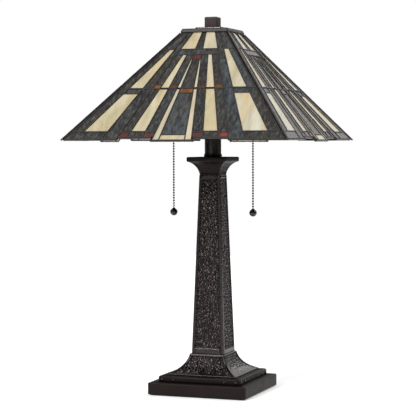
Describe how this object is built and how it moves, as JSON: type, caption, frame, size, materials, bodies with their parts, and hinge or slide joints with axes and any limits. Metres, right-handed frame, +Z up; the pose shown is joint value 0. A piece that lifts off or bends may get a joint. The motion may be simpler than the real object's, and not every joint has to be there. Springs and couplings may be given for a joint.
{
  "type": "table lamp",
  "caption": "Table lamp with a square pyramid shade of leaded art glass, a tapered square column on a stepped base, screw sockets with pull chains, and a block finial.",
  "frame": {"origin": "middle of the underside of the base, on the surface that the lamp stands on", "axes": "+Z up through the column to the finial, -Y to the front, +X to the right seen from the front; the cord inlet is at the back, +Y"},
  "size_m": [0.3888, 0.3888, 0.635],
  "materials": {
    "bronze": "dark bronze paint on hammered castings, satin",
    "finial_bronze": "brown bronze paint, satin",
    "leading": "soldered copper foil, dark patina, low sheen",
    "cream_glass": "opalescent cream art glass with soft streaks, gloss",
    "grey_glass": "charcoal and blue-grey rippled art glass with brown streaks, gloss",
    "amber_glass": "deep amber art glass, gloss",
    "red_glass": "deep red art glass, gloss",
    "chain_black": "black plated steel, gloss",
    "brass": "spun brass, satin",
    "nickel": "bright screw base",
    "bulb_glass": "frosted white",
    "fibre": "pressed paper fibre, matt",
    "black_plastic": "black moulded, matt",
    "steel": "zinc plated",
    "iron": "rough cast",
    "felt": "pressed felt"
  },
  "bodies": {
    "base": {"felt_pad": "felt", "base_plinth": "bronze", "base_weight": "iron", "weight_washer": "steel", "hex_nuts": "steel", "stem_rod": "steel", "cord_bushing": "black_plastic", "base_tier": "bronze", "tier_rivets": "bronze", "foot": "bronze", "column": "bronze", "capital": "bronze", "neck_collar": "bronze", "neck_tube": "bronze", "cluster_body": "bronze", "socket_arms": "bronze", "left_socket_cap": "brass", "left_socket_shell": "brass", "left_socket_liner": "fibre", "left_switch_body": "black_plastic", "left_screw_shell": "brass", "right_socket_cap": "brass", "right_socket_shell": "brass", "right_socket_liner": "fibre", "right_switch_body": "black_plastic", "right_screw_shell": "brass", "lever_pins": "steel", "riser_rod": "steel", "shade_rest_washer": "steel"},
    "shade": {"front_leading": "leading", "right_leading": "leading", "back_leading": "leading", "left_leading": "leading", "front_cream_glass": "cream_glass", "right_cream_glass": "cream_glass", "back_cream_glass": "cream_glass", "left_cream_glass": "cream_glass", "front_grey_glass": "grey_glass", "right_grey_glass": "grey_glass", "back_grey_glass": "grey_glass", "left_grey_glass": "grey_glass", "amber_glass": "amber_glass", "red_glass": "red_glass", "hip_cames": "leading", "top_rim": "bronze", "vase_cap": "bronze"},
    "finial": {"finial": "finial_bronze"},
    "left_lever": {"left_pull_lever": "steel"},
    "left_link": {"left_pull_link": "chain_black"},
    "left_chain": {"left_pull_chain": "chain_black", "left_pull_ball": "chain_black"},
    "left_bulb": {"left_bulb_base": "nickel", "left_bulb_glass": "bulb_glass"},
    "right_lever": {"right_pull_lever": "steel"},
    "right_link": {"right_pull_link": "chain_black"},
    "right_chain": {"right_pull_chain": "chain_black", "right_pull_ball": "chain_black"},
    "right_bulb": {"right_bulb_base": "nickel", "right_bulb_glass": "bulb_glass"}
  },
  "joints": [
    {"name": "shade_turn", "type": "hinge", "parent": "base", "child": "shade", "pos_m": [0, 0, 0.6118], "axis": [0, 0, 1], "continuous": true},
    {"name": "finial_turn", "type": "hinge", "parent": "base", "child": "finial", "pos_m": [0, 0, 0.6171], "axis": [0, 0, 1], "continuous": true},
    {"name": "left_chain_pull", "type": "slide", "parent": "base", "child": "left_link", "axis": [0, 0, -1], "range_m": [0, 0.0083], "stiffness_N_per_m": 600, "springref_m": -0.006},
    {"name": "left_chain_swing", "type": "hinge", "parent": "left_link", "child": "left_chain", "pos_m": [-0.07157, 0, 0.46975], "axis": [0, 1, 0], "range_deg": [-12, 12]},
    {"name": "left_lever_swing", "type": "hinge", "parent": "base", "child": "left_lever", "pos_m": [-0.052, 0, 0.474], "axis": [0, -1, 0], "range_deg": [0, 24]},
    {"name": "left_bulb_turn", "type": "hinge", "parent": "base", "child": "left_bulb", "pos_m": [-0.048, 0, 0.5], "axis": [0, 0, 1], "continuous": true},
    {"name": "right_chain_pull", "type": "slide", "parent": "base", "child": "right_link", "axis": [0, 0, -1], "range_m": [0, 0.0083], "stiffness_N_per_m": 600, "springref_m": -0.006},
    {"name": "right_chain_swing", "type": "hinge", "parent": "right_link", "child": "right_chain", "pos_m": [0.07157, 0, 0.46975], "axis": [0, 1, 0], "range_deg": [-12, 12]},
    {"name": "right_lever_swing", "type": "hinge", "parent": "base", "child": "right_lever", "pos_m": [0.052, 0, 0.474], "axis": [0, 1, 0], "range_deg": [0, 24]},
    {"name": "right_bulb_turn", "type": "hinge", "parent": "base", "child": "right_bulb", "pos_m": [0.048, 0, 0.5], "axis": [0, 0, 1], "continuous": true}
  ],
  "couplings": [
    {"joint": "left_lever_swing", "follows": "left_chain_pull", "rad_per_m": 50.366},
    {"joint": "right_lever_swing", "follows": "right_chain_pull", "rad_per_m": 50.366}
  ]
}
